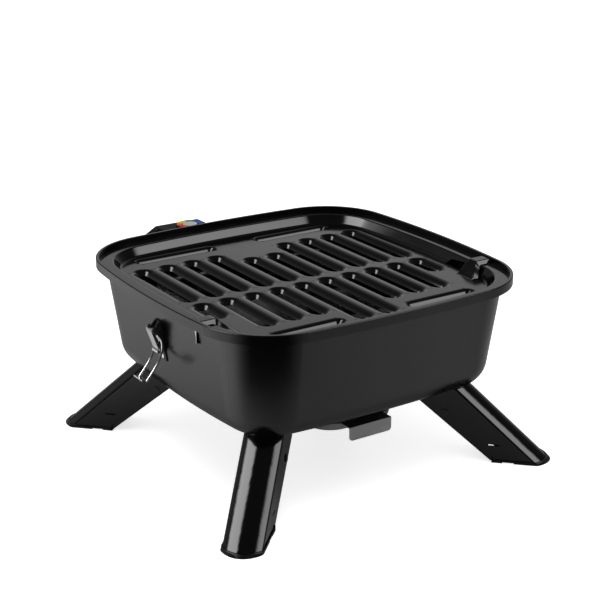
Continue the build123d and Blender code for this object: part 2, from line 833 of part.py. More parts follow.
def unit_cover():
    """Upper part of the thermostat housing, with a dished lug and the dial's index mark."""
    cover = unit_block(0.0, unit_seam_z, unit_top)
    cover -= unit_block(unit_shell, unit_low, unit_top)
    cover += upright_pin(lug_radius, lug_x, lug_y, unit_top - 3 * unit_shell, unit_top + lug_rise)
    cover -= upright_pin(lug_bore, lug_x, lug_y, unit_top - unit_shell, unit_top + 1)
    mark_y = dial_y - dial_radius - index_length
    cover += upright_box((-dial_gap, dial_gap), (mark_y - index_length / 2, mark_y + index_length / 2),
                         (unit_top - 1, unit_top + dial_gap))
    cover -= upright_pin(dial_stem_radius + dial_gap, 0, dial_y, unit_seam_z, unit_top + 1)
    cover -= upright_pin(lens_radius, lens_x, lens_y, unit_seam_z, unit_top + 1)
    return cover - nose_form() - gland_hole()


def unit_base():
    """Lower part of the thermostat housing, with dimples for its screws."""
    base = unit_block(0.0, unit_low, unit_seam_z - unit_seam)
    base -= unit_block(unit_shell, unit_low, unit_top)
    base = base - nose_form() - gland_hole()
    return base - [place * Cylinder(unit_screw_radius, 4 * unit_shell) for place in unit_screw_places()]


def unit_screw_places():
    return [Pos(side * unit_screw_x, y, unit_low) for side in (-1, 1)
            for y in (unit_front + 2 * unit_corner, unit_back - 2 * unit_corner)]


def unit_screws():
    head = Pos(0, 0, -unit_shell / 4) * Cylinder(unit_screw_radius * 1.8, unit_shell / 2)
    shank = Pos(0, 0, unit_shell) * Cylinder(unit_screw_radius, unit_shell * 2)
    return [place * (head + shank) for place in unit_screw_places()]


def plug_nose():
    """The insulated nose that goes into the collar, with bores for the heater ends."""
    nose = nose_form()
    nose -= [y_rod(pin_radius + nose_gap, side * element_pitch / 2, element_z, 0, pin_reach + nose_gap)
             for side in (-1, 1)]
    return nose - y_rod(probe_radius, 0, element_z, 0, unit_front)


def probe():
    tip = Pos(0, probe_tip_y, element_z) * Sphere(probe_radius)
    return y_rod(probe_radius, 0, element_z, probe_tip_y, unit_front) + tip


def dial_top():
    return unit_top + dial_gap + dial_height


def scale_ring():
    """Coloured heat scale let into the top of the knob."""
    low = dial_top() - ring_sink
    band = upright_pin(ring_radius, 0, dial_y, low, low + ring_height)
    return band - upright_pin(ring_inner_radius, 0, dial_y, low - 1, low + ring_height + 1)


def dial():
    """Fluted knob with a stem, recessed on top for its scale and cap."""
    knob = upright_pin(dial_radius, 0, dial_y, unit_top + dial_gap, dial_top())
    knob = fillet(knob.edges().sort_by(Axis.Z)[-1], dial_edge)
    flute = upright_pin(dial_flute_radius, dial_radius, 0, unit_top, dial_top() - 2 * dial_edge)
    turns = [Pos(0, dial_y, 0) * Rot(0, 0, 360 * k / dial_flutes) for k in range(dial_flutes)]
    knob -= [turn * flute for turn in turns]
    low = dial_top() - ring_sink
    knob -= scale_ring() + upright_pin(cap_radius, 0, dial_y, low, low + ring_height)
    return knob + upright_pin(dial_stem_radius, 0, dial_y, unit_top - 2 * unit_shell, unit_top + 1)


def dial_cap():
    """Pale disc in the middle of the knob."""
    low = dial_top() - ring_sink
    return upright_pin(cap_radius, 0, dial_y, low, low + ring_height)


def indicator_lens():
    lens = upright_pin(lens_radius, lens_x, lens_y, unit_top - unit_shell, unit_top + 1)
    return fillet(lens.edges().sort_by(Axis.Z)[-1], 0.8)


def cord_gland():
    """Bored sleeve where the supply cord leaves the housing."""
    tube = y_rod(gland_radius, 0, unit_seam_z, unit_back - unit_shell, unit_back + gland_length)
    flange = y_rod(gland_radius + 2, 0, unit_seam_z, unit_back - 2 * unit_shell, unit_back - unit_shell)
    return tube + flange - y_rod(gland_bore, 0, unit_seam_z, 0, unit_back + 2 * gland_length)


def to_side(part, side):
    """Takes a piece drawn for the +X side to its own side."""
    return part if side > 0 else mirror(part, Plane.YZ)


def lever_place():
    """Puts a piece drawn about the lever's pin, hanging straight down, at its lean on the +X side."""
    return Pos(lever_pivot_x, latch_y, lever_pivot_z) * Rot(0, lever_lean, 0)


def latch_base(side):
    """Plate on the bowl's wall with two tall ears that the lever's pin goes through."""
    half = latch_base_width / 2
    pad = upright_box((rim_half_x - 40, rim_half_x), (latch_y - half, latch_y + half),
                      (latch_base_low, latch_base_high))
    plate = pad & (bowl_body(-latch_sheet, ledge_z) - bowl_body(0.0, ledge_z + 1))
    drop = lever_pivot_z - latch_base_low
    foot_x = lever_pivot_x - ear_setback - drop * tan(radians(lever_lean))
    points = [(rim_half_x - 40, latch_base_high), (lever_pivot_x - 2 * ear_round, latch_base_high),
              (lever_pivot_x, lever_pivot_z + ear_round), (lever_pivot_x + ear_round, lever_pivot_z),
              (foot_x, latch_base_low), (rim_half_x - 40, latch_base_low)]
    ear = make_face(Polyline(*points, close=True))
    ear = fillet(ear.vertices().sort_by(Axis.X)[-1:], ear_round * 0.8)
    ear = ear - Pos(lever_pivot_x, lever_pivot_z) * Circle(latch_pin_radius)
    ears = extrude(Plane.XZ * ear, ear_half, both=True)
    ears -= upright_box((0, rim_half_x * 2), (-ear_half + latch_sheet, ear_half - latch_sheet), (0, rim_top))
    ears = Pos(0, latch_y, 0) * ears - bowl_body(0.0, ledge_z + 1)
    return to_side(plate + ears, side)


def latch_pin(side):
    """Pin through the lever and the ears, with a head on each end."""
    pin = along_y(latch_pin_radius, lever_half)
    head = along_y(latch_pin_head_radius, latch_pin_head / 2)
    pin += [Pos(0, end * (lever_half + latch_pin_head / 2), 0) * head for end in (-1, 1)]
    return to_side(lever_place() * pin, side)


def latch_lever(side):
    """Lever: a strip with two cheeks that turn on the pin and hold the bail, and a curled end."""
    strip = upright_box((lever_reach - latch_sheet, lever_reach), (-lever_half, lever_half),
                        (-lever_length, lever_reach / 2))
    cheeks = upright_box((-lever_cheek_back, lever_reach), (-lever_half, lever_half),
                         (-lever_cheek_length, 0))
    cheeks += along_y(lever_reach, lever_half)
    cheeks -= upright_box((-2 * lever_reach, lever_reach - latch_sheet),
                          (-lever_half + latch_sheet, lever_half - latch_sheet),
                          (-lever_length, 2 * lever_reach))
    curl = Pos(lever_reach, 0, -lever_length) * (along_y(lever_curl, lever_half)
                                                 - along_y(lever_curl - latch_sheet, lever_half + 1))
    lever = strip + cheeks + curl
    lever -= along_y(latch_pin_radius + pin_clearance, lever_half + 1)
    lever -= Pos(0, 0, -bail_drop) * along_y(wire_radius + pin_clearance, lever_half + 1)
    return to_side(lever_place() * lever, side)


def bail_origin():
    """Where the bail turns in the lever."""
    lean = radians(lever_lean)
    return (lever_pivot_x - bail_drop * sin(lean), lever_pivot_z - bail_drop * cos(lean))


def latch_bail(side):
    """Wire bail that hangs from the lever, with a hook plate across its end."""
    x, z = bail_origin()
    path = [(x - dx, z + dz) for dx, dz in bail_path]
    tip_x, tip_z = path[-1]
    rail = Plane.XZ * Spline(*path)
    pieces = [y_rod(wire_radius, tip_x, tip_z, latch_y - bail_half, latch_y + bail_half)]
    for end in (-1, 1):
        y = latch_y + end * bail_half
        run = Pos(0, y, 0) * rail
        inward = latch_y + end * (lever_half - latch_sheet)
        pieces.append(sweep(Plane(origin=run @ 0, z_dir=run % 0) * Circle(wire_radius), run))
        pieces.append(y_rod(wire_radius, x, z, min(inward, y), max(inward, y)))
        pieces += [Pos(spot_x, y, spot_z) * Sphere(wire_radius) for spot_x, spot_z in (path[0], path[-1])]
    hook = Box(hook_sheet, 2 * hook_half, hook_length)
    pieces.append(Pos(tip_x + hook_length / 2, latch_y, tip_z + wire_radius) * Rot(0, hook_turn, 0) * hook)
    return to_side(pieces[0] + pieces[1:], side)


def latch_rivets(side):
    """Short rivets through the latch base into the bowl's wall."""
    rivets = []
    for z in (latch_base_low + spot for spot in rivet_spots):
        x = rim_half_x - wall_at(z)
        outer = Pos(x + latch_sheet, latch_y, z) * Rot(0, 90, 0) * Cylinder(rivet_radius, 2 * rivet_show)
        rivets.append(to_side(outer - bowl_body(-latch_sheet, ledge_z + 1), side))
    return rivets


def build():
    """Every sub-part by name; a list is a group of identical pieces."""
    parts = {
        "bowl": bowl() - screw_holes(),
        "grill_plate": grill_plate(),
        "bracket_rivets": bracket_rivets(),
        "fat_tray": fat_tray(),
        "rail_screws": rail_screws(),
        "heating_element": heating_element(),
        "terminal_pins": terminal_pins(),
        "element_bar_front": element_bar(-bar_y),
        "element_bar_back": element_bar(bar_y),
        "element_clips": element_clips(),
        "terminal_plate": terminal_plate(),
        "socket_shroud": socket_shroud(),
        "reflector_pan": reflector(),
        "thermostat_cover": unit_cover(),
        "thermostat_base": unit_base(),
        "thermostat_screws": unit_screws(),
        "plug_nose": plug_nose(),
        "probe": probe(),
        "scale_ring": scale_ring(),
        "dial": dial(),
        "dial_cap": dial_cap(),
        "indicator_lens": indicator_lens(),
        "cord_gland": cord_gland(),
    }
    for name in azimuths():
        parts["leg_" + name] = leg(name)
        parts["foot_cap_" + name] = foot_cap(name)
        parts["leg_bracket_" + name] = leg_bracket(name)
        parts["leg_pin_" + name] = leg_pin(name)
    for side, name in ((-1, "left"), (1, "right")):
        parts["tray_rail_" + name] = tray_rail(side)
        parts["latch_base_" + name] = latch_base(side)
        parts["latch_pin_" + name] = latch_pin(side)
        parts["latch_lever_" + name] = latch_lever(side)
        parts["latch_bail_" + name] = latch_bail(side)
        parts["latch_rivets_" + name] = latch_rivets(side)
    return parts


def main():
    os.makedirs("parts", exist_ok=True)
    parts = {name: part if isinstance(part, list) else [part] for name, part in build().items()}
    boxes = [piece.bounding_box() for pieces in parts.values() for piece in pieces]
    y_middle = (min(box.min.Y for box in boxes) + max(box.max.Y for box in boxes)) / 2
    print("the bowl's axis stands at y =", round(-y_middle, 3))
    to_origin = Pos(0, -y_middle, 0)
    for name, pieces in parts.items():
        moved = [to_origin * piece for piece in pieces]
        export_step(moved[0] if len(moved) == 1 else Compound(children=moved), "parts/" + name + ".step")


main()
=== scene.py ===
import json
import math

import bmesh
import bpy
from mathutils import Matrix, Vector
from mathutils.bvhtree import BVHTree
from mathutils.geometry import delaunay_2d_cdt


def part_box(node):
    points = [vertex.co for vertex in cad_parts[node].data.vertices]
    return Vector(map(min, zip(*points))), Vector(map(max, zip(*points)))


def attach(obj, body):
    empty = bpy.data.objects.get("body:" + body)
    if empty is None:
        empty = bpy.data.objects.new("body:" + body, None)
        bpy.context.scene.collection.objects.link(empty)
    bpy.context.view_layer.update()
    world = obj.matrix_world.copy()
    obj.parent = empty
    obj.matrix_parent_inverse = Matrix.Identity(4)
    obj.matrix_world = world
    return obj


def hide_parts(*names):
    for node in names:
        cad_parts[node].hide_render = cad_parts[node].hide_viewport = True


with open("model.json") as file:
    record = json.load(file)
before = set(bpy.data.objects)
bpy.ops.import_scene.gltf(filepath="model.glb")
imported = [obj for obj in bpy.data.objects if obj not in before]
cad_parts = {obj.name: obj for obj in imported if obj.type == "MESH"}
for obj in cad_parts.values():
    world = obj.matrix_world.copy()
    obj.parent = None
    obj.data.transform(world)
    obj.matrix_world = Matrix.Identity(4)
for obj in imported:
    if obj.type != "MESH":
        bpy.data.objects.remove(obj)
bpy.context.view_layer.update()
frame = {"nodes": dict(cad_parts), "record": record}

# Where things are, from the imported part, in metres
MM = 0.001
bowl_low, bowl_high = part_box("bowl")
AXIS_Y = (bowl_low.y + bowl_high.y) / 2
HALF_X = (bowl_high.x - bowl_low.x) / 2
HALF_Y = (bowl_high.y - bowl_low.y) / 2
RIM_TOP = bowl_high.z

# The rim's rounded square
SIDE_BULGE = 1.100
FRONT_BULGE = 1.411
CORNER = 0.080
SIDE_STEPS = 14
CORNER_STEPS = 18


def corner_centre():
    """Centre of the corner arc, from its distances to the two bulge centres."""
    side = Vector((HALF_X - SIDE_BULGE, 0.0))
    front = Vector((0.0, HALF_Y - FRONT_BULGE))
    to_side = SIDE_BULGE - CORNER
    to_front = FRONT_BULGE - CORNER
    gap = (front - side).length
    along = (to_side**2 - to_front**2 + gap**2) / (2 * gap)
    off = math.sqrt(to_side**2 - along**2)
    way = (front - side) / gap
    return side + way * along + Vector((-way.y, way.x)) * off


def arc(centre, radius, start, end, steps):
    """Points on a circle from one angle towards another, leaving out the last."""
    turn = (end - start) / steps
    angles = [start + turn * i for i in range(steps)]
    return [(centre[0] + radius * math.cos(angle), centre[1] + radius * math.sin(angle)) for angle in angles]


def outline(inset):
    """One closed loop of the rim's shape, brought in by inset, about the bowl's axis."""
    corner = corner_centre()
    side = (HALF_X - SIDE_BULGE, 0.0)
    front = (0.0, HALF_Y - FRONT_BULGE)
    side_angle = math.atan2(corner.y - side[1], corner.x - side[0])
    front_angle = math.atan2(corner.y - front[1], corner.x - front[0])
    quarter = arc(side, SIDE_BULGE - inset, 0.0, side_angle, SIDE_STEPS)
    quarter += arc(corner, CORNER - inset, side_angle, front_angle, CORNER_STEPS)
    quarter += arc(front, FRONT_BULGE - inset, front_angle, math.pi / 2, SIDE_STEPS)
    top = (0.0, HALF_Y - inset)
    loop = quarter + [top] + [(-x, y) for x, y in reversed(quarter)]
    return loop[:-1] + [(-x, -y) for x, y in loop[:-1]]


def bridge(bm, lower, upper):
    """Quads between two loops of the same length."""
    count = len(lower)
    for i in range(count):
        j = (i + 1) % count
        bm.faces.new((lower[i], lower[j], upper[j], upper[i]))


def stack(bm, rings):
    """Quads between each loop and the next."""
    for lower, upper in zip(rings, rings[1:]):
        bridge(bm, lower, upper)


def piece(name, bm, body, material, sharp):
    """Turns a bmesh into a smooth-shaded object that rides on a body."""
    bmesh.ops.recalc_face_normals(bm, faces=bm.faces)
    mesh = bpy.data.meshes.new(name)
    bm.to_mesh(mesh)
    bm.free()
    mesh.shade_smooth()
    mesh.set_sharp_from_angle(angle=math.radians(sharp))
    thing = bpy.data.objects.new(name, mesh)
    bpy.context.scene.collection.objects.link(thing)
    thing.data.materials.append(material)
    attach(thing, body)
    return thing


# ---------------------------------------------------------------- materials

# Scales of the noises that the finishes use, finer as they grow
COAT_CLOUD = 9.0
COAT_PATCHES = 23.0
COAT_PEEL = 260.0
METAL_CLOUD = 30.0
METAL_LINES = 900.0
PLASTIC_CLOUD = 60.0
PLASTIC_SPARK = 1800.0
PRINT_WEAR = 900.0
FLOOR_CLOUD = 3.0


def grey(level):
    """A neutral colour."""
    return (level, level, level)


def shader(name, color, metallic, roughness, specular=0.5):
    """A new Principled material; returns the material, its nodes, links and shader node."""
    made = bpy.data.materials.new(name)
    made.use_nodes = True
    nodes = made.node_tree.nodes
    bsdf = nodes["Principled BSDF"]
    bsdf.inputs["Base Color"].default_value = (*color, 1.0)
    bsdf.inputs["Metallic"].default_value = metallic
    bsdf.inputs["Roughness"].default_value = roughness
    bsdf.inputs["Specular IOR Level"].default_value = specular
    return made, nodes, made.node_tree.links, bsdf


def noise(nodes, links, scale, detail=3.0, stretch=(1, 1, 1)):
    """Noise in the object's own space, with an optional stretch; returns its value socket."""
    place = nodes.new("ShaderNodeTexCoord")
    fit = nodes.new("ShaderNodeMapping")
    fit.inputs["Scale"].default_value = stretch
    cloud = nodes.new("ShaderNodeTexNoise")
    cloud.inputs["Scale"].default_value = scale
    cloud.inputs["Detail"].default_value = detail
    links.new(place.outputs["Object"], fit.inputs["Vector"])
    links.new(fit.outputs["Vector"], cloud.inputs["Vector"])
    return cloud.outputs["Fac"]


def spread(nodes, links, value, low, high, start=0.3, end=0.7):
    """Maps a noise value to a range."""
    shape = nodes.new("ShaderNodeMapRange")
    shape.inputs["From Min"].default_value = start
    shape.inputs["From Max"].default_value = end
    shape.inputs["To Min"].default_value = low
    shape.inputs["To Max"].default_value = high
    links.new(value, shape.inputs["Value"])
    return shape.outputs["Result"]


def tint(nodes, links, value, low, high):
    """Mixes two colours by a value."""
    ramp = nodes.new("ShaderNodeMix")
    ramp.data_type = "RGBA"
    ramp.inputs["A"].default_value = (*low, 1.0)
    ramp.inputs["B"].default_value = (*high, 1.0)
    links.new(value, ramp.inputs["Factor"])
    return ramp.outputs["Result"]


def math_node(nodes, links, operation, first, second):
    """A sum, product or the like of two sockets or numbers."""
    made = nodes.new("ShaderNodeMath")
    made.operation = operation
    for slot_number, value in enumerate((first, second)):
        if isinstance(value, (int, float)):
            made.inputs[slot_number].default_value = value
        else:
            links.new(value, made.inputs[slot_number])
    return made.outputs["Value"]


def smooth_range(nodes, links, value, start, end, low, high):
    """Goes smoothly from low to high as the value goes from start to end."""
    shape = nodes.new("ShaderNodeMapRange")
    shape.interpolation_type = "SMOOTHSTEP"
    shape.inputs["From Min"].default_value = start
    shape.inputs["From Max"].default_value = end
    shape.inputs["To Min"].default_value = low
    shape.inputs["To Max"].default_value = high
    links.new(value, shape.inputs["Value"])
    return shape.outputs["Result"]


def towards(nodes, links, vector, way):
    """How closely a vector points along a way."""
    dot = nodes.new("ShaderNodeVectorMath")
    dot.operation = "DOT_PRODUCT"
    dot.inputs[1].default_value = Vector(way).normalized()
    links.new(vector, dot.inputs[0])
    return dot.outputs["Value"]


def bump(nodes, links, bsdf, value, distance):
    """Raises the surface by a value, up to a distance."""
    relief = nodes.new("ShaderNodeBump")
    relief.inputs["Distance"].default_value = distance
    links.new(value, relief.inputs["Height"])
    links.new(relief.outputs["Normal"], bsdf.inputs["Normal"])


def cloudy(nodes, links, bsdf, scale, low, high):
    """A base colour that drifts between two colours."""
    cloud = spread(nodes, links, noise(nodes, links, scale, 4.0), 0.0, 1.0)
    links.new(tint(nodes, links, cloud, low, high), bsdf.inputs["Base Color"])


def coated(name, low, high, rough_low, rough_high, peel=2e-5, peel_scale=COAT_PEEL):
    """Enamel or coating on sheet steel: cloudy colour, uneven gloss and a slight orange peel."""
    made, nodes, links, bsdf = shader(name, high, 0.0, rough_high)
    cloudy(nodes, links, bsdf, COAT_CLOUD, low, high)
    patches = noise(nodes, links, COAT_PATCHES, 5.0)
    links.new(spread(nodes, links, patches, rough_low, rough_high), bsdf.inputs["Roughness"])
    bump(nodes, links, bsdf, noise(nodes, links, peel_scale, 2.0), peel)
    return made


def metal(name, low, high, rough_low, rough_high, scale=METAL_LINES, stretch=(1, 1, 1), relief=4e-6):
    """Bare or plated metal, brushed where the noise is stretched."""
    made, nodes, links, bsdf = shader(name, high, 1.0, rough_high)
    cloudy(nodes, links, bsdf, METAL_CLOUD, low, high)
    lines = noise(nodes, links, scale, 3.0, stretch)
    links.new(spread(nodes, links, lines, rough_low, rough_high), bsdf.inputs["Roughness"])
    bump(nodes, links, bsdf, lines, relief)
    return made


def moulded(name, low, high, rough_low, rough_high, texture=3e-5, specular=0.5):
    """Moulded plastic with a fine spark texture."""
    made, nodes, links, bsdf = shader(name, high, 0.0, rough_high, specular)
    cloudy(nodes, links, bsdf, PLASTIC_CLOUD, low, high)
    fine = noise(nodes, links, PLASTIC_SPARK, 2.0)
    links.new(spread(nodes, links, fine, rough_low, rough_high), bsdf.inputs["Roughness"])
    bump(nodes, links, bsdf, fine, texture)
    return made


# The scale's colours round the dial, from +X towards +Y: where each starts, as a share of a turn
SCALE_COLORS = (
    (0.00, (0.005, 0.07, 0.32)), (0.11, (0.01, 0.16, 0.03)), (0.24, (0.55, 0.40, 0.005)),
    (0.38, (0.60, 0.13, 0.004)), (0.46, (0.45, 0.015, 0.005)), (0.62, (0.006, 0.006, 0.006)),
    (0.93, (0.005, 0.07, 0.32)),
)


def printed(name):
    """The dial's coloured scale, laid out round its own centre, with a worn print."""
    made, nodes, links, bsdf = shader(name, grey(0.5), 0.0, 0.45, 0.06)
    ring_low, ring_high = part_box("scale_ring")
    place = nodes.new("ShaderNodeTexCoord")
    about = nodes.new("ShaderNodeVectorMath")
    about.operation = "SUBTRACT"
    about.inputs[1].default_value = (ring_low + ring_high) / 2
    links.new(place.outputs["Object"], about.inputs[0])
    split = nodes.new("ShaderNodeSeparateXYZ")
    links.new(about.outputs["Vector"], split.inputs["Vector"])
    turn = math_node(nodes, links, "ARCTAN2", split.outputs["Y"], split.outputs["X"])
    share = math_node(nodes, links, "FRACT", math_node(nodes, links, "DIVIDE", turn, 2 * math.pi), 0.0)
    ramp = nodes.new("ShaderNodeValToRGB")
    ramp.color_ramp.interpolation = "CONSTANT"
    stops = ramp.color_ramp.elements
    while len(stops) < len(SCALE_COLORS):
        stops.new(0.5)
    for stop, (start, color) in zip(stops, SCALE_COLORS):
        stop.position = start
        stop.color = (*color, 1.0)
    links.new(share, ramp.inputs["Fac"])
    links.new(ramp.outputs["Color"], bsdf.inputs["Base Color"])
    links.new(spread(nodes, links, noise(nodes, links, PRINT_WEAR), 0.3, 0.42), bsdf.inputs["Roughness"])
    return made


MATERIALS = {
    "bowl_enamel": coated("bowl_enamel", grey(0.0008), grey(0.0016), 0.17, 0.23, 1.5e-5, 180.0),
    "plate_coating": coated("plate_coating", grey(0.001), grey(0.002), 0.08, 0.15, 1.0e-5, 300.0),
    "leg_gloss": coated("leg_gloss", grey(0.0008), grey(0.0016), 0.07, 0.12, 1.6e-4, 110.0),
    "foot_plastic": moulded("foot_plastic", grey(0.001), grey(0.003), 0.25, 0.35, specular=0.3),
    "bracket_steel": coated("bracket_steel", grey(0.008), grey(0.012), 0.35, 0.5),
    "bare_edge": moulded("bare_edge", grey(0.72), grey(0.85), 0.35, 0.5, 1e-5),
    "pin_steel": metal("pin_steel", grey(0.5), grey(0.62), 0.2, 0.32),
    "tray_steel": metal("tray_steel", (0.3, 0.3, 0.31), (0.38, 0.38, 0.39), 0.3, 0.42, 500.0),
    "rail_steel": metal("rail_steel", (0.35, 0.36, 0.37), grey(0.5), 0.35, 0.5, 200.0),
    "latch_chrome": metal("latch_chrome", (0.78, 0.78, 0.79), (0.86, 0.86, 0.87), 0.06, 0.14, 300.0),
    "element_sheath": metal("element_sheath", (0.1, 0.09, 0.08), (0.2, 0.18, 0.16), 0.4, 0.6, 400.0),
    "inner_steel": metal("inner_steel", grey(0.1), grey(0.19), 0.3, 0.45, 700.0, (1, 0.05, 1)),
    "insulator": moulded("insulator", (0.5, 0.46, 0.38), (0.6, 0.56, 0.48), 0.6, 0.75),
    "unit_plastic": moulded("unit_plastic", grey(0.004), grey(0.007), 0.42, 0.54, specular=0.06),
    "dial_plastic": moulded("dial_plastic", (0.33, 0.33, 0.32), (0.42, 0.42, 0.41), 0.3, 0.42, 1e-5),
    "scale_print": printed("scale_print"),
    "lens": moulded("lens", (0.5, 0.03, 0.02), (0.6, 0.04, 0.02), 0.1, 0.15, 2e-6),
}

# Vertices closer than this become one
WELD = 0.001 * MM

# A length too small to see
HAIR = 0.0001 * MM

# Edges sharper than these angles, in degrees, stay sharp in the shading
NODE_SHARP = 30.0
PRESSED_SHARP = 45.0
SHEET_SHARP = 35.0


def smooth_copy(node, body):
    """A node's own form again, with its facets shaded as one smooth skin; it stands for the node."""
    cad = frame["nodes"][node]
    bm = bmesh.new()
    bm.from_mesh(cad.data)
    bm.transform(cad.matrix_world)
    bmesh.ops.remove_doubles(bm, verts=bm.verts, dist=WELD)
    slot = next(part["material_slot"] for part in frame["record"]["subparts"] if part["node"] == node)
    skin = piece(node + "_skin", bm, body, MATERIALS[slot], PRESSED_SHARP)
    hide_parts(node)
    flatter = skin.modifiers.new("flatter", "WEIGHTED_NORMAL")
    flatter.keep_sharp = True


def dress_nodes():
    """Gives every CAD node the material of its slot."""
    for part in frame["record"]["subparts"]:
        node = frame["nodes"][part["node"]]
        node.data.materials.clear()
        node.data.materials.append(MATERIALS[part["material_slot"]])
        node.data.shade_smooth()
        node.data.set_sharp_from_angle(angle=math.radians(NODE_SHARP))


dress_nodes()
for corner in ("front_left", "front_right", "back_left", "back_right"):
    smooth_copy("leg_" + corner, "leg_" + corner)
    smooth_copy("foot_cap_" + corner, "leg_" + corner)


# Bare steel strip beside the wall slot, on both sides
STRIP_Y = (-82.2 * MM, -80.3 * MM, -78.4 * MM)
STRIP_Z = (178.2 * MM, 186.5 * MM, 194.8 * MM)
STRIP_THICK = 0.5 * MM
STRIP_DEPTH = 0.6 * MM


def wall_strip(side):
    """A thin strip that lies on the bowl's side wall."""
    bowl = frame["nodes"]["bowl"]
    bm = bmesh.new()
    bm.from_mesh(bowl.data)
    bm.transform(bowl.matrix_world)
    tree = BVHTree.FromBMesh(bm)
    bm.free()
    bm = bmesh.new()
    out = Vector((side, 0.0, 0.0))
    grid = [[tree.ray_cast(Vector((side, y + AXIS_Y, z)), -out)[0] for z in STRIP_Z] for y in STRIP_Y]
    rows = [[bm.verts.new(spot + out * STRIP_THICK) for spot in row] for row in grid]
    for row, after in zip(rows, rows[1:]):
        for k in range(len(row) - 1):
            bm.faces.new((row[k], row[k + 1], after[k + 1], after[k]))
    bmesh.ops.recalc_face_normals(bm, faces=bm.faces)
    bmesh.ops.solidify(bm, geom=bm.faces[:], thickness=STRIP_DEPTH)
    return bm


for side, name in ((-1, "left"), (1, "right")):
    piece("wall_strip_" + name, wall_strip(side), "base", MATERIALS["bare_edge"], NODE_SHARP)


# ---------------------------------------------------------------- the plate

SHEET = 1.5 * MM
PLATE_INSET = 4.0 * MM
FLANGE_INSET = 19.0 * MM
FLOOR_INSET = 26.0 * MM
WELL_DEPTH = 10.0 * MM
WELL_BEND = 2.5 * MM
WELL_BEND_STEPS = 6
FLOOR_BEND = 4.0 * MM
FLOOR_BEND_STEPS = 12
PLATE_TOP = RIM_TOP - 5.5 * MM
PLATE_FLOOR = PLATE_TOP - WELL_DEPTH

# Pressed slots: columns along Y, and a few across at the middle of the front and back
SLOT_PITCH = 30.6 * MM
SLOT_COLUMNS = 10
SLOT_HALF = 10.0 * MM
SLOT_SPREAD = 4.4 * MM
SLOT_ROLL = 12.0 * MM
SLOT_TURN = math.radians(52)
CROSS_SPREAD = 0.4 * MM
CROSS_ROLL = 7.3 * MM
CROSS_TURN = math.radians(58)
END_SPREAD = 1.0 * MM
SLOT_DROP = 5.2 * MM
END_ROLL = 4.0 * MM
END_TURN = math.radians(38)
END_BLEND = 1.7
SLOT_ROLL_STEPS = 8
SLOT_END_STEPS = 20
SLOT_MARGIN = 0.25 * MM
BACK_SLOTS = (-11.0 * MM, 114.0 * MM)
BACK_SLOTS_MIDDLE = (-11.0 * MM, 87.0 * MM)
FRONT_SLOTS = (-115.0 * MM, -17.0 * MM)
FRONT_SLOTS_MIDDLE = (-150.0 * MM, -17.0 * MM)
FRONT_SLOTS_OUTER = (-70.0 * MM, -17.0 * MM)
CROSS_SLOTS = ((26.0 * MM, 129.0 * MM, 139.0 * MM), (38.0 * MM, 126.0 * MM, -139.0 * MM))
RELIEF_START = 2.5 * MM
RELIEF_LENGTH = 4.0 * MM
RELIEF_HALF = 0.35 * MM
RELIEF_END_STEPS = 4
RELIEF_OUT = 3.9 * MM
CROSS_RELIEF_OUT = 0.5 * MM

# Finger slots at the foot of the slope
FINGER_X = 161.5 * MM
FINGER_Y = -81.0 * MM
FINGER_HALF_LENGTH = 31.0 * MM
FINGER_HALF_WIDTH = 4.0 * MM
FINGER_END_STEPS = 10


def inset_at(x, y):
    """How far inside the rim's outline a point lies, about the bowl's axis."""
    spot = Vector((abs(x), abs(y)))
    corner = corner_centre()
    side = Vector((HALF_X - SIDE_BULGE, 0.0))
    front = Vector((0.0, HALF_Y - FRONT_BULGE))
    side_angle = math.atan2(corner.y - side.y, corner.x - side.x)
    front_angle = math.atan2(corner.y - front.y, corner.x - front.x)
    if math.atan2(spot.y, spot.x - side.x) <= side_angle:
        return SIDE_BULGE - (spot - side).length
    if math.atan2(spot.y - front.y, spot.x) >= front_angle:
        return FRONT_BULGE - (spot - front).length
    return CORNER - (spot - corner).length


def well_bends():
    """Insets where the flange's bend starts and ends and where the floor's bend starts and ends."""
    lean = math.atan2(WELL_DEPTH, FLOOR_INSET - FLANGE_INSET)
    upper = WELL_BEND * math.tan(lean / 2)
    lower = FLOOR_BEND * math.tan(lean / 2)
    return (FLANGE_INSET - upper, FLANGE_INSET + upper * math.cos(lean),
            FLOOR_INSET - lower * math.cos(lean), FLOOR_INSET + lower)


def well_height(inset):
    """Height of the plate's upper skin at an inset."""
    start, slope_start, slope_end, end = well_bends()
    if inset <= start:
        return PLATE_TOP
    if inset < slope_start:
        return PLATE_TOP - WELL_BEND + math.sqrt(WELL_BEND**2 - (inset - start)**2)
    if inset >= end:
        return PLATE_FLOOR
    if inset > slope_end:
        return PLATE_FLOOR + FLOOR_BEND - math.sqrt(FLOOR_BEND**2 - (end - inset)**2)
    high = well_height(slope_start - HAIR)
    low = well_height(slope_end + HAIR)
    return high + (low - high) * (inset - slope_start) / (slope_end - slope_start)


def shares(start, end, steps):
    """Evenly spaced values from start to end, both included."""
    return [start + (end - start) * i / steps for i in range(steps + 1)]


def well_insets():
    """Insets of the loops that shape the plate's flange, slope and floor."""
    start, slope_start, slope_end, end = well_bends()
    upper = shares(start, slope_start, WELL_BEND_STEPS)
    lower = shares(slope_end, end, FLOOR_BEND_STEPS)
    return [PLATE_INSET, start - SLOT_MARGIN] + upper + lower + [end + SLOT_MARGIN]


def stadium(centre, half_length, half_width, along_x, steps):
    """A closed loop with round ends, centred on a point and running along Y or X."""
    loop = []
    run = half_length - half_width
    for way, first in ((1, 0.0), (-1, math.pi)):
        for i in range(steps + 1):
            angle = first + math.pi * i / steps
            loop.append((half_width * math.cos(angle), way * run + half_width * math.sin(angle)))
    if along_x:
        loop = [(-y, x) for x, y in loop]
    return [(centre[0] + x, centre[1] + y) for x, y in loop]


